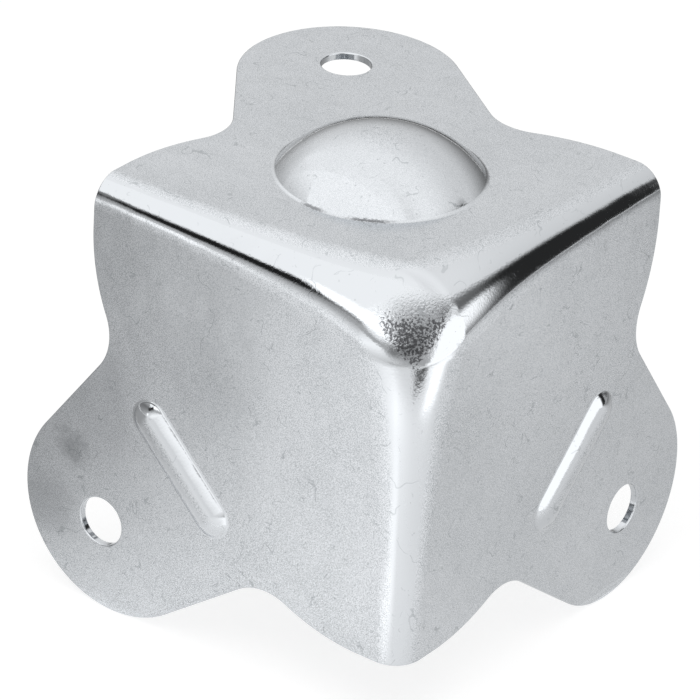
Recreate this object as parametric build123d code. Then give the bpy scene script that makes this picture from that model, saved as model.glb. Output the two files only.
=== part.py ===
from build123d import *

import os
from math import acos, asin, atan2, cos, degrees, exp, pi, sin

# Flight case corner: one blank of zinc-plated sheet steel, pressed into three plates that meet at right
# angles over the corner of a case. Each plate ends in a round ear with a rivet hole. The top plate has a
# round dome, and the two side plates have a short stiffening rib each.
# Millimetres, +Z up. The origin is the corner point of the case that the part covers, where the inner
# planes of the three plates meet. The case fills x < 0, y > 0, z < 0. The top plate faces +Z, the left
# plate faces -Y and the right plate faces +X. All three have the same outline.

# Driving dimensions. A reach or an offset runs along a plate, from the sharp corner where the three
# outer planes would meet.
SHEET = 0.8  # thickness of the sheet
RIM_ROUND = 0.15  # rounded outer rim of the whole outline

EDGE_REACH = 42.4  # free end of each bend
EDGE_FLAT = 5.5  # straight edge of a plate beside the free end of a bend
EAR_INSET = 4.3  # centre of the ear's round end, nearer to both outer planes than the free ends
EAR_RADIUS = 12.2  # round end of the ear
WAIST_DEPTH = 2.6  # waist between a free end and an ear, nearer to the outer plane than the free end
WAIST_TO_EAR = 20.35  # waist's centre to the ear's centre, along the free edge
WAIST_RADIUS = 6.2  # inward curve at the waist

HOLE_BEYOND_EAR = 1.9  # centre of the rivet hole, further from both outer planes than the ear's centre
HOLE_RADIUS = 2.75  # rivet hole
HOLE_ROUND = 0.2  # rounded outer rim of the rivet hole

BEND_RADIUS = 4.4  # outer radius of a bend along its middle
APEX_RADIUS = 13.4  # what the outer radius would grow to at the sharp corner
APEX_FADE = 11.0  # distance from the sharp corner over which the radius falls to the bend's
APEX_FADE_POWER = 1.6  # how suddenly it falls about that distance
END_RADIUS = 3.3  # outer radius of a bend at its free end
END_BLEND = 26.0  # length over which a bend narrows to its free end

DOME_OFFSET = 21.5  # centre of the dome, from both side planes
DOME_RADIUS = 11.2  # foot of the dome
DOME_HEIGHT = 5.0  # dome above the top plate

RIB_TO_EAR = 8.5  # centre of a rib, nearer to both neighbouring outer planes than the ear's centre
RIB_LENGTH = 16.4  # rib over its rounded ends
RIB_WIDTH = 4.6  # rib across its foot
RIB_HEIGHT = 0.9  # rib above its plate

FOOT_ROUND = 0.6  # outer hollow round where a dome or a rib rises from its plate

# What follows from them.
EAR_CENTRE = EDGE_REACH - EAR_INSET
HOLE_OFFSET = EAR_CENTRE + HOLE_BEYOND_EAR
RIB_OFFSET = EAR_CENTRE - RIB_TO_EAR

# Working sizes of the forms that the sheet is cut from.
MARGIN = 2.0  # how far a cutting form stands clear of what it cuts
STOCK = EAR_CENTRE + EAR_RADIUS + MARGIN  # how far the corner forms run along each plate
BEND_ROWS = 36  # rows of surface points along a bend
BEND_COLUMNS = 10  # steps of a row from the edge of a bend to its middle
ROW_SPREAD = 1.3  # how much closer together the rows lie near the apex, 1 being even
HALVINGS = 40  # halvings of an interval when a distance is solved for
NUDGE = 0.0001  # small step with which a slope is taken
CORNER_AXIS = Axis((0, 0, 0), (1, -1, 1))  # a third of a turn about it takes each plate to the next
TOP, LEFT, RIGHT = 0, 120, 240  # turns about it that take the top plate to each place


def to_plate(shape, plate):
    """Copy of a shape made for the top plate, turned to another plate."""
    return shape.rotate(CORNER_AXIS, plate)


def ease(share):
    """Smooth step from 0 to 1, level at both ends."""
    share = min(max(share, 0), 1)
    return share * share * (3 - 2 * share)


def solve(is_low, low, high):
    """Number between low and high where is_low turns from true to false, by halving the interval."""
    for _ in range(HALVINGS):
        middle = (low + high) / 2
        if is_low(middle):
            low = middle
        else:
            high = middle
    return (low + high) / 2


def radius_at(depths):
    """Outer radius at a point: large at the apex, even along a bend, tighter at its free end."""
    at_apex = exp(-((depths.length / APEX_FADE) ** APEX_FADE_POWER))
    into_end = ease((depths.Y - EDGE_REACH + END_BLEND) / END_BLEND)
    return BEND_RADIUS + (APEX_RADIUS - BEND_RADIUS) * at_apex + (END_RADIUS - BEND_RADIUS) * into_end


def level(depths):
    """How far a point lies inside (below zero) or outside of the rounded corner, in square millimetres.

    The outer surface is where what the depths fall short of the radius, squared and added up, equals the
    radius squared. That is a round bend where two depths fall short, and a round apex where three do.
    """
    radius = radius_at(depths)
    return sum(max(radius - depth, 0) ** 2 for depth in depths) - radius**2


def outward_at(depths):
    """Direction of steepest rise of the level."""
    nudges = (Vector(NUDGE, 0, 0), Vector(0, NUDGE, 0), Vector(0, 0, NUDGE))
    return Vector(*[level(depths + nudge) - level(depths - nudge) for nudge in nudges]).normalized()


def edge_depth(reach):
    """Depth at which a bend meets a plate, at a reach along the bend."""
    return solve(lambda depth: radius_at(Vector(depth, reach, 0)) > depth, 0, APEX_RADIUS)


def surface_point(reach, share, corner, face):
    """Point on the upper half of the top right bend.

    reach is where its row leaves the plate, share runs from 0 there to 1 at the middle of the bend. The
    first row, at the corner reach, runs down the apex on the plane of symmetry between the side plates.
    Further rows swing square to the bend, and the last one is kept in the plane of the solid's back.
    Depths are below the right, left and top outer planes.
    """
    depth = edge_depth(reach)
    fan = share * pi / 4
    swing = 1 - ease((reach - corner) / corner)
    ray = Vector(sin(fan), sin(fan) * swing, cos(fan)).normalized()
    centre = Vector(depth, reach, depth)
    away = solve(lambda distance: level(centre - ray * distance) < 0, 0, 2 * depth)
    depths = centre - ray * away
    depths -= outward_at(depths) * (SHEET - face)
    if reach == STOCK:
        depths.Y = STOCK
    return Vector(SHEET - depths.X, depths.Y - SHEET, SHEET - depths.Z)


def bend_row(reach, corner, face):
    """Row of the upper half of the top right bend, a curve from the plate to the middle of the bend."""
    shares = [column / BEND_COLUMNS for column in range(BEND_COLUMNS + 1)]
    points = [surface_point(reach, share, corner, face) for share in shares]
    slopes = []
    for share in (0, 1):
        ahead = surface_point(reach, share + NUDGE, corner, face)
        behind = surface_point(reach, share - NUDGE, corner, face)
        slopes.append((ahead - behind) / (2 * NUDGE))
    slopes[0].Z = 0
    return Edge.make_spline(points, tangents=slopes, parameters=shares, scale=False)


def bend_half(face):
    """Upper half of the top right bend with its sixth of the apex, as one surface through its rows.

    The first row starts from the corner of the plate, where the edges of its two bends meet.
    """
    corner = solve(lambda reach: edge_depth(reach) > reach, 0, APEX_RADIUS)
    steps = [(row / BEND_ROWS) ** ROW_SPREAD for row in range(BEND_ROWS + 1)]
    rows = [bend_row(STOCK - (STOCK - corner) * (1 - step), corner, face) for step in steps]
    return Shell.make_loft([Wire([row]) for row in rows]).face()


def corner_form(face):
    """Solid corner as high as face above the inner planes, its bends and its apex rounded."""
    half = bend_half(face)
    mirrored = half.mirror(Plane(origin=(0, 0, 0), z_dir=(1, 1, 0)))
    far = STOCK - SHEET
    # The top plate, between the upper edges of its two bends.
    upper = [bend.edges().sort_by(Axis.Z)[-1] for bend in (half, mirrored)]
    start = upper[0].vertices().sort_by(Axis.Y)[-1].center()
    end = upper[1].vertices().sort_by(Axis.X)[0].center()
    plate = Face(Wire([*upper, *Polyline(start, (-far, far, face), end).edges()]))
    # The back of the solid, behind the far end of the top right bend.
    ends = [bend.edges().sort_by(Axis.Y)[-1] for bend in (half, to_plate(mirrored, RIGHT))]
    below = ends[1].vertices().sort_by(Axis.Z)[0].center()
    frame = Polyline(start, (-far, far, face), (-far, far, -far), (face, far, -far), below)
    back = Face(Wire([*ends, *frame.edges()]))
    third = (half, mirrored, plate, back)
    return Solid(Shell([to_plate(skin, turn) for skin in third for turn in (TOP, LEFT, RIGHT)]))


def round_foot(form, centre, span, face):
    """Round the edges where a raised form meets its plate, which all lie within span of its centre."""
    foot = form.edges().filter_by(lambda edge: (edge.center(CenterOf.BOUNDING_BOX) - centre).length < span)
    return fillet(foot, FOOT_ROUND + SHEET - face)


def add_dome(form, face):
    """Raise the dome from the top plate: the cap of a ball."""
    ball_radius = (DOME_RADIUS**2 + DOME_HEIGHT**2) / (2 * DOME_HEIGHT)
    inset = DOME_OFFSET - SHEET
    ball = Sphere(ball_radius - SHEET + face)
    raised = form + Pos(-inset, inset, SHEET + DOME_HEIGHT - ball_radius) * ball
    return round_foot(raised, Vector(-inset, inset, face), SHEET, face)


def add_rib(form, face, plate):
    """Raise a rib from a side plate: the top of a rod with ball ends, across the plate's diagonal."""
    rod_radius = ((RIB_WIDTH / 2) ** 2 + RIB_HEIGHT**2) / (2 * RIB_HEIGHT)
    straight = RIB_LENGTH - RIB_WIDTH
    inset = RIB_OFFSET - SHEET
    rod = Cylinder(rod_radius - SHEET + face, straight, rotation=(90, 0, 0))
    ends = [Pos(0, side * straight / 2, 0) * Sphere(rod_radius - SHEET + face) for side in (-1, 1)]
    rib = Pos(-inset, inset, SHEET + RIB_HEIGHT - rod_radius) * Rot(0, 0, -45) * (rod + ends)
    centre = to_plate(Vertex(-inset, inset, face), plate).center()
    return round_foot(form + to_plate(rib, plate), centre, RIB_LENGTH, face)


def pressed_form(face):
    """Corner form with its dome and ribs: the outside of the part for SHEET, its inside for 0."""
    form = add_dome(corner_form(face), face)
    for plate in (LEFT, RIGHT):
        form = add_rib(form, face, plate)
    return form


def plate_outline():
    """Outline of a plate, x and y being reaches from the sharp corner, mirrored about its diagonal.

    From a bend's free end: straight edge, outward shoulder arc, inward waist arc, straight flank, ear.
    """
    # The shoulder's and the waist's arcs touch, so the waist's place along the edge gives both radii.
    along = EAR_CENTRE - WAIST_TO_EAR - EDGE_FLAT
    both_radii = (along**2 + WAIST_DEPTH**2) / (2 * WAIST_DEPTH)
    shoulder_radius = both_radii - WAIST_RADIUS
    shoulder_turn = asin(along / both_radii)
    shoulder = Vector(EDGE_REACH - shoulder_radius, EDGE_FLAT)
    waist = Vector(EDGE_REACH - WAIST_DEPTH + WAIST_RADIUS, EAR_CENTRE - WAIST_TO_EAR)
    ear = Vector(EAR_CENTRE, EAR_CENTRE)
    # The flank touches the waist's circle and the ear's circle on opposite sides.
    apart = waist - ear
    flank_turn = atan2(apart.Y, apart.X) + acos((WAIST_RADIUS + EAR_RADIUS) / apart.length)
    shoulder_turn, flank_turn = degrees(shoulder_turn), degrees(flank_turn)
    with BuildSketch() as outline:
        with BuildLine():
            Line((EDGE_REACH, -MARGIN), (EDGE_REACH, EDGE_FLAT))
            CenterArc(shoulder, shoulder_radius, 0, shoulder_turn)
            inward = CenterArc(waist, WAIST_RADIUS, 180 + shoulder_turn, flank_turn - shoulder_turn)
            outward = CenterArc(ear, EAR_RADIUS, flank_turn, 45 - flank_turn)
            Line(inward @ 1, outward @ 0)
            mirror(about=Plane(origin=(0, 0, 0), z_dir=(1, -1, 0)))
            Polyline((EDGE_REACH, -MARGIN), (-MARGIN, -MARGIN), (-MARGIN, EDGE_REACH))
        make_face()
    return outline.sketch


def blank_form():
    """Space that the three cut plates may fill: each outline run through its plate, down to the bends."""
    outline = Pos(SHEET, -SHEET, SHEET - EDGE_FLAT) * Rot(0, 0, 90) * plate_outline()
    prism = extrude(outline, EDGE_FLAT + DOME_HEIGHT + MARGIN)
    return to_plate(prism, TOP) + [to_plate(prism, LEFT), to_plate(prism, RIGHT)]


def is_outer_rim(edge, blank, inner):
    """Whether an edge lies on the outline and on the outer side of the sheet."""
    middle = Vertex(edge @ 0.5)
    on_outline = min(wall.distance_to(middle) for wall in blank.faces()) < SHEET / 100
    return on_outline and inner.distance_to(middle) > SHEET / 2


def cut_sheet():
    """The pressed sheet between its outer and inner forms, cut to the outlines, its outer rim rounded."""
    inner = pressed_form(0)
    blank = blank_form()
    part = (pressed_form(SHEET) & blank) - inner
    rim = part.edges().filter_by(lambda edge: is_outer_rim(edge, blank, inner))
    return fillet(rim, RIM_ROUND)


def cut_hole(part, plate):
    """Rivet hole through the ear of a plate, with its outer rim rounded."""
    inset = HOLE_OFFSET - SHEET
    bored = part - to_plate(Pos(-inset, inset, SHEET / 2) * Cylinder(HOLE_RADIUS, SHEET * 2), plate)
    centre = to_plate(Vertex(-inset, inset, SHEET), plate).center()
    near = SHEET / 2
    rim = bored.edges().filter_by(lambda edge: (edge.center(CenterOf.BOUNDING_BOX) - centre).length < near)
    return fillet(rim, HOLE_ROUND)


def case_corner():
    """The whole part, with the rivet holes through its three ears."""
    part = cut_sheet()
    for plate in (TOP, LEFT, RIGHT):
        part = cut_hole(part, plate)
    return part


os.makedirs("parts", exist_ok=True)
export_step(case_corner(), "parts/case_corner.step")
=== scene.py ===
"""Flight case corner: one pressed sheet of zinc-plated steel, in a plain white studio."""
import logging
from collections.abc import Callable
from dataclasses import dataclass, field
from enum import Enum
from functools import partial, reduce
from math import cos, degrees, pi, radians, sin, tan
from operator import add, mul

import bpy
import numpy as np
from mathutils import Matrix, Vector
from mathutils.geometry import delaunay_2d_cdt


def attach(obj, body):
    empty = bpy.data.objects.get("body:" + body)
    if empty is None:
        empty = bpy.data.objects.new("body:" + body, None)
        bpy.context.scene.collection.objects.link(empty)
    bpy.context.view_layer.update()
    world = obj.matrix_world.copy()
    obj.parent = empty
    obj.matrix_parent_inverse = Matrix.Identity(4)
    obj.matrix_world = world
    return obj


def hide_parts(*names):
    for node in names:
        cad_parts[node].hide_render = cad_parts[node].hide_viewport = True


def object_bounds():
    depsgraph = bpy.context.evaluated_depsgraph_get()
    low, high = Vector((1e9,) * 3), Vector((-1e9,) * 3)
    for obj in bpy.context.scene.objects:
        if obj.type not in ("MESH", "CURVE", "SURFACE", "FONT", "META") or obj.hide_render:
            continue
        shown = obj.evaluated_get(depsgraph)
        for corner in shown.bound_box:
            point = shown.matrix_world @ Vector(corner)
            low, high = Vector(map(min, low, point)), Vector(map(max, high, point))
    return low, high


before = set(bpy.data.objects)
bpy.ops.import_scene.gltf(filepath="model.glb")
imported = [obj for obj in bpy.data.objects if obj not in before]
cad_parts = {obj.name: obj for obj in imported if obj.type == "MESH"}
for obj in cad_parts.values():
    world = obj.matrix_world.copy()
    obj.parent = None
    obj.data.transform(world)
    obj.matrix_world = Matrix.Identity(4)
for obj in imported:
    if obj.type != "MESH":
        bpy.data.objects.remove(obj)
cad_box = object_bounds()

logging.basicConfig(level=logging.INFO, format="%(message)s")
log = logging.getLogger("case corner")

MM = 0.001  # metres in a millimetre
HALVINGS = 50  # enough to find a place to the last digit
TOUCHING = 1e-6  # millimetres that count as no distance
JOINED_PER_MM = 2e4  # grid steps in a millimetre: the mesh's points in one place of the grid are joined
WHITE = (1.0, 1.0, 1.0, 1.0)

Array = np.ndarray
Row = tuple[Array, Array]
Surface = tuple[Array, Array, Array]
Triple = tuple[float, float, float]
Colour = tuple[float, float, float, float]


def ease(share: Array) -> Array:
    """Smooth step from 0 to 1: three times the square less twice the cube."""
    share = np.clip(share, 0.0, 1.0)
    return share * share * (3.0 - 2.0 * share)


def ease_slope(share: Array) -> Array:
    """Slope of the smooth step: six times the share times what is left of it."""
    share = np.clip(share, 0.0, 1.0)
    return 6.0 * share * (1.0 - share)


def halve(low: Array, high: Array, before: Callable[[Array], Array]) -> Array:
    """Find where a test turns from true to false, by halving an interval.

    Args:
        low: Values where the test is true.
        high: Values where it is false.
        before: The test.

    Returns:
        The values where it turns.
    """
    for _ in range(HALVINGS):
        middle = (low + high) / 2.0
        passed = before(middle)
        low, high = np.where(passed, middle, low), np.where(passed, high, middle)
    return (low + high) / 2.0


def add_object(name: str, data: bpy.types.ID) -> bpy.types.Object:
    """Object in the scene with some data."""
    made = bpy.data.objects.new(name, data)
    bpy.context.scene.collection.objects.link(made)
    return made


class Turn(Enum):
    """Which third of the corner a form made for the top plate and the top right bend is turned to.

    A point is held as its depths below the right, left and top outer planes. A cyclic change of
    their order is a third of a turn about the corner's diagonal.
    """

    TOP = 0
    RIGHT = 1
    LEFT = 2

    def carry(self, depths: Array) -> Array:
        """Depths or directions of the top third, moved to this third."""
        return np.roll(depths, self.value, axis=-1)


@dataclass(frozen=True)
class SheetSizes:
    """Sizes of the pressed sheet in millimetres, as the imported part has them."""

    sheet: float = 0.8
    edge_round: float = 0.15
    hole_offset: float = 40.0
    hole_radius: float = 2.75
    hole_round: float = 0.2
    edge_reach: float = 42.4
    edge_flat: float = 5.5
    ear_centre: float = 38.1
    ear_radius: float = 12.2
    waist_depth: float = 2.6
    waist_to_ear: float = 20.35
    waist_radius: float = 6.2
    dome_offset: float = 21.5
    dome_radius: float = 11.2
    dome_height: float = 5.0
    rib_offset: float = 29.6
    rib_length: float = 16.4
    rib_width: float = 4.6
    rib_height: float = 0.9
    foot_round: float = 0.6


@dataclass(frozen=True)
class Rounding:
    """Outer surface of the three bends and the apex, as one smooth form.

    With depths x below the three outer planes and a radius R, the surface is where the squares of
    (R - x), counted only where x is less than R, add up to the square of R. R is large at the
    sharp corner and fades with the distance from it, and it narrows towards a bend's free end.
    """

    apex: float = 13.4
    bend: float = 4.4
    fade: float = 11.0
    fade_power: float = 1.6
    end: float = 3.3
    end_reach: float = 42.4
    end_blend: float = 26.0

    def nearness(self, away: Array) -> Array:
        """Share that the apex has in R, from the distance to the sharp corner."""
        return np.exp(-((away / self.fade) ** self.fade_power))

    def taper(self, depths: Array) -> Array:
        """How far a bend has narrowed: 0 or less before its taper and 1 at its free end."""
        return (depths.max(axis=-1) - self.end_reach + self.end_blend) / self.end_blend

    def radius(self, depths: Array) -> Array:
        """Radius R at points given by their three depths."""
        near = self.nearness(np.linalg.norm(depths, axis=-1))
        return self.bend + (self.apex - self.bend) * near + (self.end - self.bend) * ease(self.taper(depths))

    def level(self, depths: Array) -> Array:
        """Sum of squares less the square of R: below zero inside the form."""
        radius = self.radius(depths)
        left = np.clip(radius[..., None] - depths, 0.0, None) ** 2
        return left.sum(axis=-1) - radius**2

    def normal(self, depths: Array) -> Array:
        """Outward unit normals, the gradient of the level divided by its length."""
        radius = self.radius(depths)
        away = np.maximum(np.linalg.norm(depths, axis=-1), TOUCHING)
        fading = -(self.apex - self.bend) * self.nearness(away) * self.fade_power
        fading = fading * (away / self.fade) ** self.fade_power / away
        slope = fading[..., None] * depths / away[..., None]
        narrowing = (self.end - self.bend) * ease_slope(self.taper(depths)) / self.end_blend
        slope = slope + narrowing[..., None] * (depths == depths.max(axis=-1, keepdims=True))
        left = np.clip(radius[..., None] - depths, 0.0, None)
        whole = left.sum(axis=-1) - radius
        gradient = -left + whole[..., None] * slope
        return gradient / np.linalg.norm(gradient, axis=-1, keepdims=True)

    def tangent_reach(self, reach: Array) -> Array:
        """Where a bend meets a plate at its reaches: the depth that equals R."""

        def on_bend(depth: Array) -> Array:
            """Whether a depth is less than R there."""
            return self.radius(np.stack([depth, reach, 0.0 * reach], axis=-1)) > depth

        return halve(np.zeros_like(reach), np.full_like(reach, self.apex), on_bend)

    def corner_reach(self) -> float:
        """Reach on both sides of the place where two bends' edges meet on a plate."""
        found = halve(np.zeros(1), np.full(1, self.apex), lambda reach: self.tangent_reach(reach) > reach)
        return float(found[0])

    def cast(self, centre: Array, direction: Array) -> Array:
        """Points where rays from inside meet the surface.

        Args:
            centre: Starting points as depths.
            direction: Unit directions in which the depths fall.

        Returns:
            Depths of the points on the surface.
        """

        def inside(length: Array) -> Array:
            """Whether rays of a length still end inside."""
            return self.level(centre - length[..., None] * direction) < 0.0

        nothing = np.zeros(np.broadcast_shapes(centre.shape, direction.shape)[:-1])
        return centre - halve(nothing, nothing + 2.0 * self.apex, inside)[..., None] * direction


@dataclass(frozen=True)
class RaisedForm:
    """Section of a dome or a rib: an arc over its middle and a hollow round at its foot."""

    half_width: float
    height: float
    foot_round: float
    arc_steps: int
    foot_steps: int

    def profile(self, drop: float) -> tuple[Array, Array, Array]:
        """Section from the middle to the foot, both arcs keeping their centres as the sheet thickens.

        Args:
            drop: How far below the outer surface, 0 outside and the sheet's thickness inside.

        Returns:
            Distances from the middle, heights above the outer plane, and tilts of the normals.
        """
        ball = (self.half_width**2 + self.height**2) / (2.0 * self.height)
        below = ball - self.height
        reach = ((ball + self.foot_round) ** 2 - (below + self.foot_round) ** 2) ** 0.5
        steepest = np.arcsin(reach / (ball + self.foot_round))
        over = np.linspace(0.0, steepest, self.arc_steps + 1)
        foot = np.linspace(steepest, 0.0, self.foot_steps + 1)[1:]
        arc, hollow = ball - drop, self.foot_round + drop
        distance = np.concatenate([arc * np.sin(over), reach - hollow * np.sin(foot)])
        height = np.concatenate([arc * np.cos(over) - below, self.foot_round - hollow * np.cos(foot)])
        return distance, height, np.concatenate([over, foot])


@dataclass(frozen=True)
class DrawnMetal:
    """How strongly the metal was drawn, from 0 on a plate to 1 in the middle of the apex.

    Metal that leans anywhere has the leaning share. The rest comes in the apex alone, where no
    part of the normal is near 1, and fades with the distance from the sharp corner in millimetres.
    The dome, the ribs and the cut edges have a share each.
    """

    leaning: float = 0.18
    leaning_range: float = 0.16
    apex_reach: float = 13.0
    apex_power: float = 3.0
    apex_steepest: float = 0.745
    apex_range: float = 0.08
    dome: float = 0.1
    rib: float = 0.25
    raised_lean: float = 0.3
    cut: float = 0.3

    def on_rounding(self, depths: Array, normals: Array) -> Array:
        """Share at points of the bends and the apex."""
        steepest = np.abs(normals).max(axis=-1)
        away = np.linalg.norm(depths, axis=-1)
        stretched = np.exp(-((away / self.apex_reach) ** self.apex_power))
        stretched = stretched * ease((self.apex_steepest - steepest) / self.apex_range)
        leaning = ease((1.0 - steepest) / self.leaning_range)
        return self.leaning * leaning + (1.0 - self.leaning) * stretched

    def on_raised(self, turn: Turn, tilt: Array) -> Array:
        """Share on the dome or a rib, a row for each tilt of its section."""
        full = self.dome if turn is Turn.TOP else self.rib
        return full * ease(np.sin(tilt) / self.raised_lean)[:, None]


@dataclass
class MeshGatherer:
    """Collects grids and triangles with their own normals, then makes one closed mesh of them."""

    points: list[Array] = field(default_factory=list)
    normals: list[Array] = field(default_factory=list)
    drawn: list[Array] = field(default_factory=list)
    corners: list[Array] = field(default_factory=list)
    count: int = 0

    def take(self, depths: Array, normals: Array, drawn: Array, triangles: Array) -> None:
        """Add triangles between points given by their depths.

        Args:
            depths: Points as depths below the right, left and top outer planes.
            normals: Outward normals in the same three directions, pointing to lesser depth.
            drawn: How strongly the metal was drawn there.
            triangles: Corner numbers, three to a row.
        """
        self.points.append(depths.reshape(-1, 3))
        self.normals.append(normals.reshape(-1, 3))
        self.drawn.append(np.broadcast_to(drawn, depths.shape[:-1]).ravel())
        self.corners.append(triangles + self.count)
        self.count += self.points[-1].shape[0]

    def take_grid(self, depths: Array, normals: Array, drawn: Array, flip: bool) -> None:
        """Add a grid of points, two triangles to a cell."""
        rows, columns = depths.shape[:2]
        number = np.arange(rows * columns).reshape(rows, columns)
        first, second = number[:-1, :-1].ravel(), number[:-1, 1:].ravel()
        third, fourth = number[1:, 1:].ravel(), number[1:, :-1].ravel()
        halves = [np.stack([first, second, third], axis=-1), np.stack([first, third, fourth], axis=-1)]
        triangles = np.concatenate(halves)
        self.take(depths, normals, drawn, triangles[:, ::-1] if flip else triangles)

    def mesh(self, name: str, sheet: float) -> bpy.types.Mesh:
        """One mesh in metres in the part's frame, with points that share a place joined.

        Args:
            name: Name of the mesh.
            sheet: Thickness of the sheet, which sets the outer planes off from the origin.

        Returns:
            The mesh, with its normals and the attribute of how strongly the metal was drawn.
        """
        depths, normals = np.concatenate(self.points), np.concatenate(self.normals)
        drawn, corners = np.concatenate(self.drawn), np.concatenate(self.corners)
        keys = np.round(depths * JOINED_PER_MM).astype(np.int64)
        _, first, joined = np.unique(keys, axis=0, return_index=True, return_inverse=True)
        faces = joined.ravel()[corners]
        whole = (faces != np.roll(faces, 1, axis=1)).all(axis=1)
        faces, corners = faces[whole], corners[whole]
        # A depth grows away from its outer plane: against x, along y and against z.
        outward = np.array([-1.0, 1.0, -1.0])
        places = (depths[first] * outward + np.array([sheet, -sheet, sheet])) * MM
        mesh = bpy.data.meshes.new(name)
        mesh.vertices.add(len(places))
        mesh.vertices.foreach_set("co", places.ravel())
        mesh.loops.add(faces.size)
        mesh.loops.foreach_set("vertex_index", faces.ravel())
        mesh.polygons.add(len(faces))
        mesh.polygons.foreach_set("loop_start", np.arange(0, faces.size, 3))
        mesh.polygons.foreach_set("use_smooth", np.ones(len(faces), dtype=bool))
        layer = mesh.attributes.new("drawn", "FLOAT", "POINT")
        layer.data.foreach_set("value", drawn[first])
        mesh.update(calc_edges=True)
        mesh.validate()
        mesh.normals_split_custom_set((normals * outward)[corners.ravel()])
        return mesh


def loop_edges(loops: list[Array]) -> Array:
    """Edges between the neighbours in closed loops, numbered through all the loops."""
    edges, before = [], 0
    for loop in loops:
        number = np.arange(len(loop))
        edges.append(np.stack([number, np.roll(number, -1)], axis=-1) + before)
        before += len(loop)
    return np.concatenate(edges)


def within(places: Array, start: Array, end: Array) -> Array:
    """Whether places are inside closed loops of edges that run from start to end.

    A place is inside when a line from it crosses the loops an odd number of times.
    """
    level = (start[None, :, 1] > places[:, None, 1]) != (end[None, :, 1] > places[:, None, 1])
    rise = np.where(end[:, 1] == start[:, 1], 1.0, end[:, 1] - start[:, 1])
    share = (places[:, None, 1] - start[None, :, 1]) / rise
    crossing = start[None, :, 0] + share * (end[None, :, 0] - start[None, :, 0])
    return (level & (crossing > places[:, None, 0])).sum(axis=1) % 2 == 1


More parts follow.
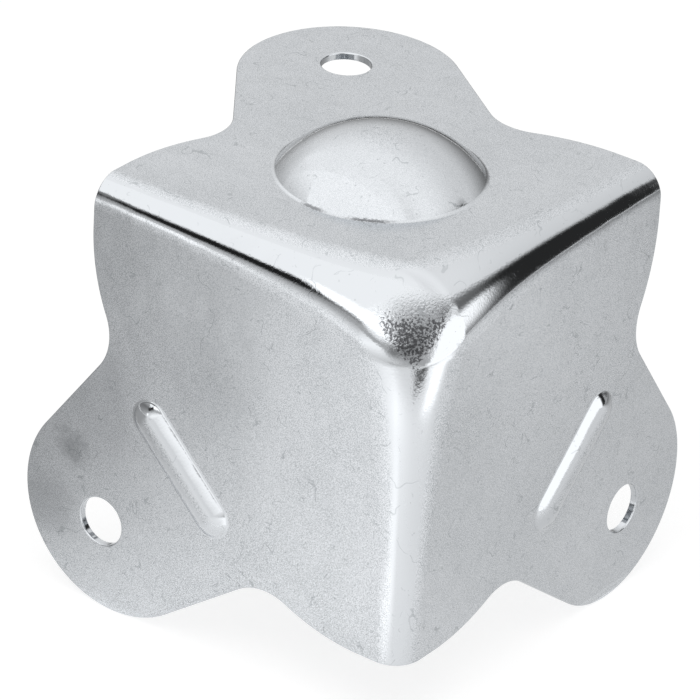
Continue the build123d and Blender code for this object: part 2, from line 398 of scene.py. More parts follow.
@dataclass
class CaseCorner:
    """The pressed sheet: three plates with their ears, three bends, the apex, the dome and the ribs."""

    sizes: SheetSizes = field(default_factory=SheetSizes)
    rounding: Rounding = field(default_factory=Rounding)
    metal: DrawnMetal = field(default_factory=DrawnMetal)
    mesh_parts: MeshGatherer = field(default_factory=MeshGatherer)
    bend_columns: int = 48
    bend_rows: int = 84
    row_spread: float = 1.15
    straight_steps: int = 5
    shoulder_steps: int = 21
    waist_steps: int = 33
    ear_steps: int = 59
    rim_steps: int = 4
    hole_steps: int = 96
    dome_steps: tuple[int, int] = (40, 12)
    dome_columns: int = 128
    rib_steps: tuple[int, int] = (14, 10)
    rib_end_steps: int = 24
    rib_side_steps: int = 31

    def rows(self, reach: float) -> Array:
        """Reaches of a bend's rows, from where it leaves the apex to a given reach."""
        start = self.rounding.corner_reach()
        return start + (reach - start) * np.linspace(0.0, 1.0, self.bend_rows + 1) ** self.row_spread

    def bend_surface(self, reach: Array, drop: float) -> Surface:
        """Top right bend: rays fanned by equal angles from its centre line, at each reach.

        Args:
            reach: Reaches of the rows.
            drop: How far below the outer surface.

        Returns:
            Depths, normals and how strongly the metal was drawn, each on a grid.
        """
        tangent = self.rounding.tangent_reach(reach)
        centre = np.stack([tangent, reach, tangent], axis=-1)[:, None, :]
        fan = np.linspace(0.0, pi / 2.0, self.bend_columns + 1)
        direction = np.stack([np.sin(fan), 0.0 * fan, np.cos(fan)], axis=-1)[None]
        return self.sink(self.rounding.cast(centre, direction), drop)

    def apex_surface(self, drop: float) -> Surface:
        """Third of the apex that faces up most: rays fanned from the meeting of the centre lines."""
        corner = self.rounding.corner_reach()
        fan = np.tan(np.linspace(0.0, pi / 4.0, self.bend_columns // 2 + 1))
        across, along = np.meshgrid(fan, fan, indexing="ij")
        direction = np.stack([across, along, np.ones_like(across)], axis=-1)
        direction /= np.linalg.norm(direction, axis=-1, keepdims=True)
        return self.sink(self.rounding.cast(np.full(3, corner), direction), drop)

    def sink(self, depths: Array, drop: float) -> Surface:
        """Surface moved inwards by a drop, its normals, and how strongly the metal was drawn."""
        normal = self.rounding.normal(depths)
        return depths - drop * normal, normal, self.metal.on_rounding(depths, normal)

    def half_outline(self, inset: float) -> Row:
        """Outline from a bend's free end to the tip of the ear, moved in by an inset.

        It runs straight, then round the outward shoulder, the inward waist, the flank and the ear.

        Args:
            inset: How far inside the cut edge.

        Returns:
            Points (depth across, reach) on the plate, and the unit normals of the outline.
        """
        s = self.sizes
        along = s.ear_centre - s.waist_to_ear - s.edge_flat
        both = (along**2 + s.waist_depth**2) / (2.0 * s.waist_depth)
        shoulder_radius = both - s.waist_radius
        turn = np.arcsin(along / both)
        shoulder = np.array([s.edge_flat, s.edge_reach - shoulder_radius])
        waist = shoulder + both * np.array([sin(turn), cos(turn)])
        ear = np.array([s.ear_centre, s.ear_centre])
        apart = waist - ear
        flank = np.arccos((s.waist_radius + s.ear_radius) / np.linalg.norm(apart))
        flank = np.arctan2(apart[0], apart[1]) + flank
        angles = [
            np.linspace(0.0, turn, self.shoulder_steps + 1),
            np.linspace(turn, flank, self.waist_steps + 1)[1:],
            np.linspace(flank, pi / 4.0, self.ear_steps + 1),
        ]
        outward = [np.stack([np.sin(angle), np.cos(angle)], axis=-1) for angle in angles]
        shoulder_arc = shoulder + (shoulder_radius - inset) * outward[0]
        waist_arc = waist - (s.waist_radius + inset) * outward[1]
        ear_arc = ear + (s.ear_radius - inset) * outward[2]
        start = float(self.rounding.tangent_reach(np.array([s.edge_reach - inset]))[0])
        across = np.linspace(start, s.edge_flat, self.straight_steps + 1)[:-1]
        straight = np.stack([across, np.full_like(across, s.edge_reach - inset)], axis=-1)
        points = np.concatenate([straight, shoulder_arc, waist_arc, ear_arc])
        normals = np.concatenate([np.tile([0.0, 1.0], (len(across), 1)), *outward])
        return points, normals

    def outline(self, inset: float) -> Row:
        """Whole outline of a plate from one bend's free end to the other's, mirrored at the ear."""
        points, normals = (np.concatenate([half, half[-2::-1, ::-1]]) for half in self.half_outline(inset))
        return points, normals

    def hole(self, inset: float) -> Row:
        """Circle of the rivet hole, widened by an inset, and its normals, which point to the centre."""
        angle = np.linspace(0.0, 2.0 * pi, self.hole_steps + 1)
        around = np.stack([np.cos(angle), np.sin(angle)], axis=-1)
        return self.sizes.hole_offset + (self.sizes.hole_radius + inset) * around, -around

    def raised_form(self, turn: Turn) -> tuple[RaisedForm, Array, Array]:
        """The dome or a rib of a plate, as a profile carried along a path.

        Returns:
            The section, the points of the plate that it is carried round, and its outward directions.
        """
        s = self.sizes
        if turn is Turn.TOP:
            form = RaisedForm(s.dome_radius, s.dome_height, s.foot_round, *self.dome_steps)
            angle = np.linspace(0.0, 2.0 * pi, self.dome_columns + 1)
            middle = np.tile([s.dome_offset, s.dome_offset], (len(angle), 1))
            return form, middle, np.stack([np.cos(angle), np.sin(angle)], axis=-1)
        form = RaisedForm(s.rib_width / 2.0, s.rib_height, s.foot_round, *self.rib_steps)
        half = (s.rib_length - s.rib_width) / 2.0
        end = np.linspace(-pi / 2.0, pi / 2.0, self.rib_end_steps + 1)
        side = np.linspace(half, -half, self.rib_side_steps + 1)[1:-1]
        at_end, square = np.full_like(end, half), np.full_like(side, pi / 2.0)
        along = np.concatenate([at_end, side, -at_end, -side, [half]])
        angle = np.concatenate([end, square, end + pi, -square, [-pi / 2.0]])
        length, width = np.array([1.0, -1.0]) / 2.0**0.5, np.array([1.0, 1.0]) / 2.0**0.5
        middle = np.array([s.rib_offset, s.rib_offset]) + along[:, None] * length
        return form, middle, np.cos(angle)[:, None] * length + np.sin(angle)[:, None] * width

    def add_raised(self, turn: Turn, drop: float) -> Array:
        """Add a plate's dome or rib and give the loop of its foot."""
        form, middle, outward = self.raised_form(turn)
        distance, height, tilt = form.profile(drop)
        place = middle[None] + distance[:, None, None] * outward[None]
        one_deep = (*place.shape[:2], 1)
        depths = np.concatenate([place, np.broadcast_to(-height[:, None, None], one_deep)], axis=-1)
        lean = np.sin(tilt)[:, None, None] * outward[None]
        up = np.broadcast_to(np.cos(tilt)[:, None, None], one_deep)
        normals = np.concatenate([lean, -up], axis=-1)
        self.add_side(turn, depths, normals, self.metal.on_raised(turn, tilt), drop, flip=False)
        return place[-1, :-1]

    def add_side(
        self, turn: Turn, depths: Array, normals: Array, drawn: Array, drop: float, flip: bool
    ) -> None:
        """Add a grid to the outside of the sheet, or turned over to its inside."""
        inside = drop > 0.0
        facing = -normals if inside else normals
        strength = np.broadcast_to(drawn, depths.shape[:2])
        self.mesh_parts.take_grid(turn.carry(depths), turn.carry(facing), strength, flip != inside)

    def add_flat(self, turn: Turn, loops: list[Array], drop: float) -> None:
        """Add the flat of a plate: the area inside its first loop and outside the others."""
        points, edges = np.concatenate(loops), loop_edges(loops)
        found = delaunay_2d_cdt([Vector(p) for p in points.tolist()], edges.tolist(), [], 0, TOUCHING)
        places = np.array([tuple(place) for place in found[0]])
        triangles = np.array(found[2])
        middles = places[triangles].mean(axis=1)
        kept = triangles[within(middles, points[edges[:, 0]], points[edges[:, 1]])]
        first, second, third = (places[kept[:, corner]] for corner in range(3))
        area = (second[:, 0] - first[:, 0]) * (third[:, 1] - first[:, 1])
        area -= (second[:, 1] - first[:, 1]) * (third[:, 0] - first[:, 0])
        inside = drop > 0.0
        turned = np.where((area > 0.0)[:, None] == inside, kept, kept[:, ::-1])
        depths = np.column_stack([places, np.full(len(places), drop)])
        normals = np.tile([0.0, 0.0, 1.0 if inside else -1.0], (len(places), 1))
        self.mesh_parts.take(turn.carry(depths), turn.carry(normals), np.zeros(len(places)), turned)

    def rim_levels(self, rounding: float) -> list[Triple]:
        """Inset, drop and tilt of the rows over a rounded edge and down the cut to the inside."""
        tilts = [pi / 2.0 * step / self.rim_steps for step in range(self.rim_steps + 1)]
        levels = [(rounding * (1.0 - sin(tilt)), rounding * (1.0 - cos(tilt)), tilt) for tilt in tilts]
        return [*levels, (0.0, self.sizes.sheet, pi / 2.0)]

    def plate_row(self, curve: Callable[[float], Row], inset: float, drop: float, tilt: float) -> Row:
        """Depths and normals of a row of a plate's cut, along its outline or its hole."""
        points, outward = curve(inset)
        depths = np.column_stack([points, np.full(len(points), drop)])
        return depths, np.column_stack([outward * sin(tilt), np.full(len(points), -cos(tilt))])

    def bend_row(self, inset: float, drop: float, tilt: float) -> Row:
        """Depths and normals of a row of the cut across a bend's free end."""
        reach = self.sizes.edge_reach - inset
        depths, normals, _ = self.bend_surface(np.array([reach]), drop)
        depths[..., 1] = reach
        return depths[0], normals[0] * cos(tilt) + np.array([0.0, sin(tilt), 0.0])

    def add_cut(self, turn: Turn) -> None:
        """Add the cut edge round a plate, across a bend's free end and inside the rivet hole."""
        s = self.sizes
        cuts = (
            (partial(self.plate_row, self.outline), s.edge_round, True),
            (self.bend_row, s.edge_round, False),
            (partial(self.plate_row, self.hole), s.hole_round, True),
        )
        for make_row, rounding, flip in cuts:
            rows = [make_row(*level) for level in self.rim_levels(rounding)]
            depths, normals = (np.stack(part) for part in zip(*rows))
            self.add_side(turn, depths, normals, np.full((1, 1), self.metal.cut), 0.0, flip)

    def build_third(self, turn: Turn) -> None:
        """Add one plate, the bend that follows it, its third of the apex and their cut edges."""
        s = self.sizes
        for drop, inset, hole_inset in ((0.0, s.edge_round, s.hole_round), (s.sheet, 0.0, 0.0)):
            rows = self.rows(s.edge_reach - inset)
            depths, normals, drawn = self.bend_surface(rows, drop)
            depths[-1, :, 1] = rows[-1]
            self.add_side(turn, depths, normals, drawn, drop, flip=False)
            self.add_side(turn, *self.apex_surface(drop), drop, flip=False)
            foot = self.add_raised(turn, drop)
            edge = np.stack([self.rounding.tangent_reach(rows), rows], axis=-1)
            outline, _ = self.outline(inset)
            hole, _ = self.hole(hole_inset)
            loop = np.concatenate([edge[:-1], outline[:-1], edge[:0:-1, ::-1]])
            self.add_flat(turn, [loop, foot, hole[:-1]], drop)
        self.add_cut(turn)

    def build(self, finish: bpy.types.Material) -> bpy.types.Object:
        """Make the piece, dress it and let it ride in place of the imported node.

        Args:
            finish: Material of the plated sheet.

        Returns:
            The finished object.
        """
        for turn in Turn:
            self.build_third(turn)
        mesh = self.mesh_parts.mesh("pressed_corner", self.sizes.sheet)
        piece = add_object("pressed_corner", mesh)
        mesh.materials.append(finish)
        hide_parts("case_corner")
        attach(piece, "root")
        log.info("pressed_corner: %d vertices, %d triangles", len(mesh.vertices), len(mesh.polygons))
        return piece


class Wire:
    """An output socket with arithmetic, so that a finish is written as a formula."""

    def __init__(self, tree: "NodeTree", socket: bpy.types.NodeSocket) -> None:
        """Hold a socket of a tree."""
        self.tree = tree
        self.socket = socket

    def math(self, operation: str, *others: "Wire | float") -> "Wire":
        """Math node with this wire first."""
        return self.tree.add("ShaderNodeMath", {"operation": operation}, dict(enumerate((self, *others))))

    def __add__(self, other: "Wire | float") -> "Wire":
        """Sum."""
        return self.math("ADD", other)

    __radd__ = __add__

    def __mul__(self, other: "Wire | float") -> "Wire":
        """Product."""
        return self.math("MULTIPLY", other)

    __rmul__ = __mul__

    def __sub__(self, other: "Wire | float") -> "Wire":
        """Difference."""
        return self.math("SUBTRACT", other)

    def __rsub__(self, other: float) -> "Wire":
        """Difference the other way round."""
        return self.tree.add("ShaderNodeMath", {"operation": "SUBTRACT"}, {0: other, 1: self})

    def step(self, low: float, high: float) -> "Wire":
        """Smooth rise from 0 at low to 1 at high, or a fall where low is the larger."""
        first, last = (0.0, 1.0) if low < high else (1.0, 0.0)
        limits = {"From Min": min(low, high), "From Max": max(low, high), "To Min": first, "To Max": last}
        settings = {"interpolation_type": "SMOOTHSTEP", "clamp": True}
        return self.tree.add("ShaderNodeMapRange", settings, {"Value": self, **limits})


@dataclass(frozen=True)
class Noise:
    """A smooth noise between 0 and 1, in waves for each millimetre, with its finer waves."""

    scale: float
    detail: float = 0.0
    roughness: float = 0.5


class NodeTree:
    """A node tree that is emptied and then filled by one method."""

    def __init__(self, owner: bpy.types.Material | bpy.types.World) -> None:
        """Empty the owner's tree."""
        owner.use_nodes = True
        self.tree = owner.node_tree
        self.tree.nodes.clear()

    def add(
        self, kind: str, settings: dict | None = None, values: dict | None = None, output: int | str = 0
    ) -> Wire:
        """Add a node.

        Args:
            kind: Type of the node.
            settings: Properties of the node, set first.
            values: Numbers, colours or wires of its input sockets.
            output: Which output the wire comes from.

        Returns:
            A wire from the chosen output.
        """
        node = self.tree.nodes.new(kind)
        for name, value in (settings or {}).items():
            setattr(node, name, value)
        for name, value in (values or {}).items():
            if isinstance(value, Wire):
                self.tree.links.new(value.socket, node.inputs[name])
            else:
                node.inputs[name].default_value = value
        return Wire(self, node.outputs[output] if len(node.outputs) else None)

    def mix(self, share: Wire, first: Colour | Wire, second: Colour | Wire) -> Wire:
        """Colour between two colours."""
        return self.add("ShaderNodeMix", {"data_type": "RGBA"}, {0: share, 6: first, 7: second}, output=2)

    def noise(self, place: Wire, noise: Noise) -> Wire:
        """Noise at a place in millimetres."""
        values = {"Scale": noise.scale, "Detail": noise.detail, "Roughness": noise.roughness}
        return self.add("ShaderNodeTexNoise", {"noise_dimensions": "3D"}, {"Vector": place, **values})

    def distance(self, place: Wire, point: Triple) -> Wire:
        """Distance between a place and a point."""
        settings = {"operation": "DISTANCE"}
        return self.add("ShaderNodeVectorMath", settings, {0: place, 1: point}, output="Value")

    def part(self, vector: Wire, axis: str) -> Wire:
        """One part of a vector or a colour."""
        return self.add("ShaderNodeSeparateXYZ", {}, {0: vector}, output=axis)

    def surface(self, shader: Wire) -> None:
        """Send a shader to the output."""
        of_world = isinstance(self.tree.id_data, bpy.types.World)
        kind = "ShaderNodeOutputWorld" if of_world else "ShaderNodeOutputMaterial"
        self.add(kind, {}, {"Surface": shader})


@dataclass(frozen=True)
class DarkPatch:
    """A soft dark place painted on the plating, in millimetres, full in its core and warped at its outline.
    """

    centre: Triple
    radius: float
    strength: float
    core: float = 0.25
    warping: float = 1.2

    def darkness(self, tree: NodeTree, place: Wire, warp: Wire) -> Wire:
        """How dark it makes the plating, with a noise that warps it."""
        away = tree.distance(place, self.centre) + (warp - 0.5) * (self.radius * self.warping)
        return away.step(self.radius, self.radius * self.core) * self.strength


@dataclass(frozen=True)
class FootShadeAndReflection:
    """Painted dark reflection and shade in the hollow at the dome's foot, on the arcs near some places, in
    millimetres.
    """

    middle: Triple = (-20.7, 20.7, 0.9)
    radius: float = 11.2
    half_width: float = 0.24
    core: float = 0.4
    warping: float = 0.5
    arcs: tuple[DarkPatch, ...] = (
        DarkPatch((-15.0, 11.1, 0.8), 3.1, 0.85),
        DarkPatch((-21.1, 9.6, 0.8), 2.0, 0.75),
        DarkPatch((-12.4, 28.2, 0.8), 4.2, 0.6),
    )

    def darkness(self, tree: NodeTree, place: Wire, warp: Wire) -> Wire:
        """How dark the painted reflection and shade make the plating, with a noise that warps it."""
        off = tree.distance(place, self.middle) - self.radius + (warp - 0.5) * self.warping
        ring = off.math("ABSOLUTE").step(self.half_width, self.half_width * self.core)
        return ring * reduce(add, [arc.darkness(tree, place, warp) for arc in self.arcs])


@dataclass(frozen=True)
class Hairlines:
    """Thin curved scratches: the level lines of a noise, kept where a second noise is high."""

    scale: float
    width: float
    threshold: float
    strength: float
    core: float = 0.3
    scatter: float = 1.9
    fade: float = 0.03

    def marks(self, tree: NodeTree, place: Wire) -> Wire:
        """Where the scratches are, and how strong."""
        off = (tree.noise(place, Noise(self.scale, 2.0)) - 0.5).math("ABSOLUTE")
        line = off.step(self.width, self.width * self.core)
        kept = tree.noise(place, Noise(self.scale * self.scatter, 1.0))
        return line * kept.step(self.threshold, self.threshold + self.fade) * self.strength


@dataclass(frozen=True)
class Specks:
    """Small dark pits, one in some cells of a cell pattern."""

    scale: float = 1.1
    radius: float = 0.16
    share: float = 0.12
    core: float = 0.4

    def marks(self, tree: NodeTree, place: Wire) -> Wire:
        """Where the pits are."""
        kind, settings = "ShaderNodeTexVoronoi", {"voronoi_dimensions": "3D", "feature": "F1"}
        cell = {"Vector": place, "Scale": self.scale}
        near = tree.add(kind, settings, cell, output="Distance").step(self.radius, self.radius * self.core)
        chosen = tree.part(tree.add(kind, settings, cell, output="Color"), "X")
        return near * chosen.math("LESS_THAN", self.share)


@dataclass(frozen=True)
class ZincPlating:
    """Bright zinc plating on drawn steel: satin and a little mottled, polished and pebbled where stretched.

    Heights and lengths are in millimetres, and scales are waves for each millimetre. The dull
    share mixes the clear and the dull colour, and the contrasts of the noises are added to it.
    """

    clear_colour: Colour = (0.69, 0.71, 0.735, 1.0)
    dull_colour: Colour = (0.44, 0.462, 0.48, 1.0)
    dull_share: float = 0.36
    grain: Noise = Noise(11.0)
    grain_contrast: float = 3.8
    grain_height: float = 0.0003
    mottle: Noise = Noise(0.45, 5.0, 0.62)
    mottle_contrast: float = 0.5
    mottle_roughness: float = 0.06
    cloud: Noise = Noise(0.075, 3.0)
    cloud_contrast: float = 0.7
    roughness: float = 0.16
    polish: float = 0.12
    polished_at: float = 0.16
    hairlines: tuple[Hairlines, ...] = (
        Hairlines(0.22, 0.009, 0.58, 1.0),
        Hairlines(0.45, 0.016, 0.61, 0.7),
    )
    specks: Specks = Specks()
    marks_roughness: float = 0.15
    marks_depth: float = 0.004
    marks_polished_off: float = 0.6
    pebble: Noise = Noise(3.6, 3.0, 0.6)
    pebble_height: float = 0.03
    # Pebbled pits with painted dark reflection at the apex; this colour also paints the dark reflection and
    # shade round the dome's foot.
    pit_and_reflection_colour: Colour = (0.12, 0.122, 0.13, 1.0)
    pit_and_reflection_strength: float = 0.9
    pit_and_reflection_drawn: tuple[float, float] = (0.18, 0.95)
    pit_and_reflection_heights: tuple[float, float] = (-1.2, -4.4)
    pit_and_reflection_level: float = 0.25
    pit_and_reflection_spread: float = 0.29
    pit_and_reflection_edge: float = 0.05
    ripple: Noise = Noise(0.17, 2.0)
    ripple_height: float = 0.12
    ripple_reach: tuple[float, float] = (16.0, 40.0)
    dark_patch_colour: Colour = (0.2, 0.21, 0.22, 1.0)
    # Soft dark patches painted on the left plate.
    dark_patches: tuple[DarkPatch, ...] = (
        DarkPatch((-43.4, -0.8, -31.6), 3.0, 0.45),
        DarkPatch((-47.0, -0.8, -40.0), 5.5, 0.3),
        DarkPatch((-25.5, -0.8, -16.0), 9.5, 0.17),
        DarkPatch((-40.0, -0.8, -25.0), 9.0, 0.16),
        DarkPatch((-24.0, -0.8, -6.0), 7.0, 0.13),
    )
    foot_shade_and_reflection: FootShadeAndReflection = FootShadeAndReflection()

    def pits_and_dark_reflection(self, tree: NodeTree, place: Wire, drawn: Wire, pebble: Wire) -> Wire:
        """Where the low places between the pebbles are dark, partly pitted metal and partly painted dark
        reflection: the more drawn and the lower, the more.
        """
        pit_and_reflection_share = drawn.step(*self.pit_and_reflection_drawn) * tree.part(place, "Z").step(*self.pit_and_reflection_heights)
        return (pit_and_reflection_share * self.pit_and_reflection_spread + self.pit_and_reflection_level - pebble).step(-self.pit_and_reflection_edge, self.pit_and_reflection_edge)

    def material(self) -> bpy.types.Material:
        """Make the material."""
        material = bpy.data.materials.new("zinc_plating")
        tree = NodeTree(material)
        here = tree.add("ShaderNodeTexCoord", output="Object")
        place = tree.add("ShaderNodeVectorMath", {"operation": "SCALE"}, {0: here, "Scale": 1.0 / MM})
        drawn = tree.add("ShaderNodeAttribute", {"attribute_name": "drawn"}, output="Fac")
        noises = (self.grain, self.mottle, self.cloud, self.pebble, self.ripple)
        grain, mottle, cloud, pebble, ripple = (tree.noise(place, noise) for noise in noises)
        polished = drawn.step(0.0, self.polished_at)
        marks = reduce(add, [kind.marks(tree, place) for kind in (*self.hairlines, self.specks)])
        marks = marks.math("MINIMUM", 1.0) * (1.0 - polished * self.marks_polished_off)
        cloudy = (mottle - 0.5) * self.mottle_contrast + (cloud - 0.5) * self.cloud_contrast
        speckle = (grain - 0.5) * (self.grain_contrast * (1.0 - polished))
        dull = cloudy * (1.0 - polished) + speckle + marks + self.dull_share
        darkened = reduce(add, [stain.darkness(tree, place, mottle) for stain in self.dark_patches])
        colour = tree.mix(dull, self.clear_colour, self.dull_colour)
        # Soft dark patches painted on the left plate.
        colour = tree.mix(darkened, colour, self.dark_patch_colour)
        # Painted dark reflection and shade in the hollow round the dome's foot.
        colour = tree.mix(self.foot_shade_and_reflection.darkness(tree, place, pebble), colour, self.pit_and_reflection_colour)
        # Pebbled pits and painted dark reflection at the apex, darker lower down.
        colour = tree.mix(self.pits_and_dark_reflection(tree, place, drawn, pebble) * self.pit_and_reflection_strength, colour, self.pit_and_reflection_colour)
        rough = self.roughness + (mottle - 0.5) * self.mottle_roughness
        rough = rough - polished * self.polish + marks * self.marks_roughness
        away = tree.add("ShaderNodeVectorMath", {"operation": "LENGTH"}, {0: place}, output="Value")
        waves = ripple * away.step(*self.ripple_reach) * self.ripple_height
        height = pebble * drawn * self.pebble_height + grain * self.grain_height + waves
        height = height - marks * self.marks_depth
        bump = tree.add("ShaderNodeBump", {}, {"Strength": 1.0, "Distance": MM, "Height": height})
        values = {"Base Color": colour, "Metallic": 1.0, "Roughness": rough, "Normal": bump}
        tree.surface(tree.add("ShaderNodeBsdfPrincipled", {}, values))
        return material


def towards(azimuth: float, elevation: float) -> Vector:
    """Unit vector towards an azimuth, from x to y, and an elevation, in degrees."""
    turn, rise = radians(azimuth), radians(elevation)
    return Vector((cos(turn) * cos(rise), sin(turn) * cos(rise), sin(rise)))


def flat_mesh(name: str, half_width: float, half_depth: float, height: float = 0.0) -> bpy.types.Mesh:
    """Level rectangle round the origin, at a height."""
    mesh = bpy.data.meshes.new(name)
    signs = ((-1.0, -1.0), (1.0, -1.0), (1.0, 1.0), (-1.0, 1.0))
    mesh.from_pydata([(x * half_width, y * half_depth, height) for x, y in signs], [], [(0, 1, 2, 3)])
    return mesh


@dataclass(frozen=True)
class SoftGlow:
    """An even glow on a rectangle that fades to clear over its edge.

    The half sides reach to where the edge has half faded. They are in the unit that the measure
    makes of a coordinate in metres.
    """

    name: str
    half_sides: tuple[float, float]
    edge: float
    radiance: float
    measure: Callable[[Wire], Wire]

    def material(self) -> bpy.types.Material:
        """Make the material."""
        material = bpy.data.materials.new(self.name)
        tree = NodeTree(material)
        here = tree.add("ShaderNodeTexCoord", output="Object")
        fades = []
        for axis, half in zip("XY", self.half_sides):
            away = self.measure(tree.part(here, axis)).math("ABSOLUTE")
            fades.append(away.step(half + self.edge / 2.0, half - self.edge / 2.0))
        glow = tree.add("ShaderNodeEmission", {}, {"Color": WHITE, "Strength": self.radiance})
        clear = tree.add("ShaderNodeBsdfTransparent")
        tree.surface(tree.add("ShaderNodeMixShader", {}, {0: reduce(mul, fades), 1: clear, 2: glow}))
        material.cycles.emission_sampling = "NONE"
        return material

    def build(self, half_width: float, half_height: float, place: Matrix) -> None:
        """Put the glow on a rectangle with these half sides in metres, seen by the metal alone."""
        mesh = flat_mesh(self.name, half_width, half_height)
        mesh.materials.append(self.material())
        panel = add_object(self.name, mesh)
        panel.matrix_world = place
        panel.visible_camera = False
        panel.visible_diffuse = False
        panel.visible_shadow = False


@dataclass(frozen=True)
class Card:
    """A soft-edged card that the metal mirrors, placed as it is seen from the part.

    Angles are in degrees. The half width and half height reach to where the edge has half faded.
    """

    name: str
    azimuth: float
    elevation: float
    half_width: float
    half_height: float
    edge: float
    roll: float
    radiance: float

    def matrix(self, target: Vector, distance: float) -> Matrix:
        """Place of the card, facing the target, its width level before it is rolled."""
        away = towards(self.azimuth, self.elevation)
        across = towards(self.azimuth + 90.0, 0.0)
        turn = Matrix((across, away.cross(across), away)).transposed().to_4x4()
        roll = Matrix.Rotation(radians(self.roll), 4, "Z")
        return Matrix.Translation(target + away * distance) @ turn @ roll

    def build(self, target: Vector, distance: float) -> None:
        """Make the card, facing a target from a distance in metres."""
        halves = (self.half_width, self.half_height)
        width, height = (distance * tan(radians(half + self.edge / 2.0)) for half in halves)

        def seen_angle(side: Wire) -> Wire:
            """Angle in degrees under which a length on the card is seen."""
            return side.math("DIVIDE", distance).math("ARCTANGENT") * degrees(1.0)

        glow = SoftGlow(self.name, halves, self.edge, self.radiance, seen_angle)
        glow.build(width, height, self.matrix(target, distance))


@dataclass(frozen=True)
class FloorSheet:
    """A soft-edged sheet of card on the floor, which the metal mirrors.

    Lengths are in millimetres and the turn is in degrees.
    """

    name: str
    place: tuple[float, float]
    half_sides: tuple[float, float]
    edge: float
    turn: float
    radiance: float

    def build(self, height: float) -> None:
        """Make the sheet at a height in metres."""
        glow = SoftGlow(self.name, self.half_sides, self.edge, self.radiance, lambda side: side * (1.0 / MM))
        width, depth = ((side + self.edge / 2.0) * MM for side in self.half_sides)
        centre = Vector((self.place[0] * MM, self.place[1] * MM, height))
        turn = Matrix.Rotation(radians(self.turn), 4, "Z")
        glow.build(width, depth, Matrix.Translation(centre) @ turn)


@dataclass(frozen=True)
class SoftLamp:
    """A square lamp that lights the floor and isn't mirrored, in degrees, metres and watts."""

    name: str = "overhead_lamp"
    azimuth: float = -70.0
    elevation: float = 70.0
    side: float = 0.8
    distance: float = 0.9
    power: float = 2.5

    def build(self, target: Vector) -> None:
        """Make the lamp, facing a target."""
        lamp = bpy.data.lights.new(self.name, "AREA")
        lamp.shape = "SQUARE"
        lamp.size = self.side
        lamp.energy = self.power
        holder = add_object(self.name, lamp)
        away = towards(self.azimuth, self.elevation)
        turn = away.to_track_quat("Z", "Y").to_matrix().to_4x4()
        holder.matrix_world = Matrix.Translation(target + away * self.distance) @ turn
        holder.visible_camera = False
        holder.visible_glossy = False


@dataclass(frozen=True)
class PhotoCamera:
    """Camera at the photograph's place, in degrees and metres, its lens in millimetres.

    The azimuth is counted from straight in front of the left plate. The camera's axis passes a
    little left of and below the apex.
    """

    azimuth: float = 35.49
    elevation: float = 28.497
    roll: float = 3.382
    distance: float = 0.56536
    apex_right: float = 0.007368
    apex_up: float = 0.003844
    lens: float = 292.1
    sensor: float = 36.0
    nearest: float = 0.01

    def build(self) -> None:
        """Make the camera and let the scene look through it."""
        azimuth, elevation, roll = (radians(angle) for angle in (self.azimuth, self.elevation, self.roll))
        back = Vector((sin(azimuth) * cos(elevation), -cos(azimuth) * cos(elevation), sin(elevation)))
        level = Vector((cos(azimuth), sin(azimuth), 0.0))
        upright = back.cross(level)
        right = level * cos(roll) + upright * sin(roll)
        up = upright * cos(roll) - level * sin(roll)
        sheet = SheetSizes().sheet * MM
        apex = Vector((sheet, -sheet, sheet))
        place = apex + back * self.distance - right * self.apex_right - up * self.apex_up
        turn = Matrix((right, up, back)).transposed().to_4x4()
        camera = bpy.data.cameras.new("camera")
        camera.lens = self.lens
        camera.sensor_width = self.sensor
        camera.clip_start = self.nearest
        holder = add_object("camera", camera)
        holder.matrix_world = Matrix.Translation(place) @ turn
        bpy.context.scene.camera = holder


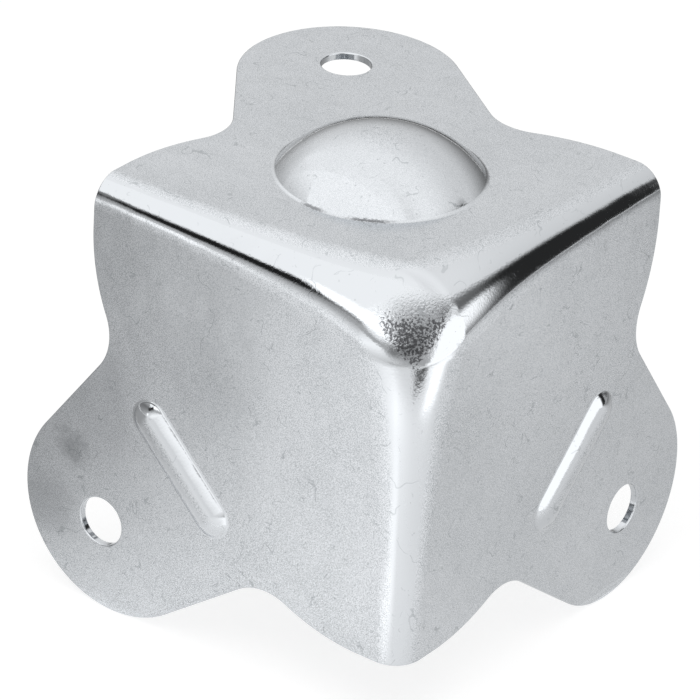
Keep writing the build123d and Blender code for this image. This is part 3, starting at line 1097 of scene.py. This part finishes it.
@dataclass(frozen=True)
class Studio:
    """White floor and surroundings, a soft lamp, cards, sheets and the camera.

    A later card stands a step nearer than the one before it, and a later sheet lies a step
    higher, so each lies on top of those before it.
    """

    target: Triple = (-0.012, 0.012, -0.012)
    lamp: SoftLamp = SoftLamp()
    camera: PhotoCamera = PhotoCamera()
    floor_size: float = 3.0
    floor_paint: Colour = (0.5, 0.5, 0.5, 1.0)
    floor_lift: float = 0.78
    world_fill: float = 0.3
    world_mirrored: float = 0.9
    card_distance: float = 1.4
    card_step: float = 0.05
    sheet_step: float = 0.2
    cards: tuple[Card, ...] = (
        Card("left_softbox", -125, 61, 57, 31.5, 7, 20, 1.39),
        Card("overhead_softbox", -55, 107, 69, 24, 50, -35, 1.28),
        Card("left_flag", -164, 8, 70, 15.5, 48, 26, 0.18),
        Card("camera_flag", -33.5, 17.3, 13.2, 30, 12.9, -3.7, 0.56),
        Card("brow_flag", 33.5, 31.5, 54, 5.7, 7.7, -26.3, 0.2),
        Card("right_softbox", 5.4, 9.2, 28.6, 26.2, 6.9, -2.8, 1.61),
        Card("right_flag", 44.4, 11.1, 9.5, 22, 9.1, -2.6, 0.03),
        Card("back_flag", 106, -5.8, 50, 16, 38, -10.5, 0.13),
        Card("front_flag", -42.3, 24.5, 15.9, 7.4, 13.4, 29, 0.28),
        Card("front_card", -86.7, 12.5, 32, 8.4, 29, 23.5, 1.55),
        Card("apex_card", -79, 39, 27, 6, 4, 0, 1.9),
        Card("apex_flag", -80, 25, 24, 3, 3, 0, 0.6),
        Card("brow_card", 16, 35.5, 8, 3, 5, -22, 1.2),
        Card("horizon_flag", -46, 0.5, 14, 2.2, 3, 0, 0.72),
        Card("horizon_card", -10, 0.5, 15, 3, 4, 0, 1.65),
        Card("seam_flag", -118.5, 24, 10, 4.5, 4, 48, 0.02),
        Card("seam_card", -122, 2.5, 3, 4, 3, 0, 1.7),
    )
    floor_sheets: tuple[FloorSheet, ...] = (
        FloorSheet("front_sheet", (71, -131), (6.7, 102), 200, 39, 2.13),
        FloorSheet("right_sheet", (247, 291), (368, 153), 36.5, 26, 0.88),
        FloorSheet("left_sheet", (-316, -184), (295, 133), 49.5, 56, 0.5),
        FloorSheet("near_strip", (15.9, -49.5), (7.3, 40), 11.6, 34, 1.55),
        FloorSheet("right_strip", (414, 21), (300, 51), 152, 6.5, 1.55),
        FloorSheet("back_sheet", (-68, 460), (352, 437), 198, 117, 0.28),
        FloorSheet("far_sheet", (-350, 310), (230, 190), 110, -40, 0.05),
        FloorSheet("right_way", (480, -40), (270, 75), 40, -2, 1.6),
        FloorSheet("right_foot", (190, -25), (60, 28), 30, 0, 1.8),
        FloorSheet("camera_foot", (270, -150), (75, 36), 36, -30, 0.15),
        FloorSheet("low_sheet", (209, 150), (181, 55), 66, 37, 0.95),
    )

    def seen_directly(self, tree: NodeTree) -> Wire:
        """1 for rays that show the surroundings: from the camera, in metal or through glass."""
        rays = ("Is Camera Ray", "Is Glossy Ray", "Is Transmission Ray")
        seen = [tree.add("ShaderNodeLightPath", output=ray) for ray in rays]
        return reduce(lambda first, second: first.math("MAXIMUM", second), seen)

    def build_world(self) -> None:
        """White surroundings, dimmer as a light and a little dimmer in the metal."""
        world = bpy.data.worlds.new("white_surroundings")
        bpy.context.scene.world = world
        tree = NodeTree(world)
        mirrored = tree.add("ShaderNodeLightPath", output="Is Glossy Ray")
        strength = self.seen_directly(tree) * (1.0 - self.world_fill) + self.world_fill
        strength = strength - mirrored * (1.0 - self.world_mirrored)
        tree.surface(tree.add("ShaderNodeBackground", {}, {"Color": WHITE, "Strength": strength}))

    def build_floor(self, height: float) -> None:
        """White floor at the part's lowest point, which keeps the part's shadow."""
        half = self.floor_size / 2.0
        mesh = flat_mesh("floor", half, half, height)
        floor = add_object("floor", mesh)
        material = bpy.data.materials.new("white_floor")
        tree = NodeTree(material)
        paint = tree.add("ShaderNodeBsdfDiffuse", {}, {"Color": self.floor_paint})
        lift = self.seen_directly(tree) * self.floor_lift
        glow = tree.add("ShaderNodeEmission", {}, {"Color": WHITE, "Strength": lift})
        tree.surface(tree.add("ShaderNodeAddShader", {}, {0: paint, 1: glow}))
        mesh.materials.append(material)
        log.info("floor at %.4f m", height)

    def build(self, floor_height: float) -> None:
        """Set up everything round the part."""
        target = Vector(self.target)
        self.build_world()
        self.build_floor(floor_height)
        self.lamp.build(target)
        for order, card in enumerate(self.cards):
            card.build(target, self.card_distance - self.card_step * order)
        for order, sheet in enumerate(self.floor_sheets, start=1):
            sheet.build(floor_height + self.sheet_step * order * MM)
        self.camera.build()
        bpy.context.scene.view_settings.view_transform = "Standard"


def main() -> None:
    """Build the part and the studio, and note the sizes."""
    CaseCorner().build(ZincPlating().material())
    Studio().build(min(corner[2] for corner in cad_box))


if __name__ == "__main__":
    main()
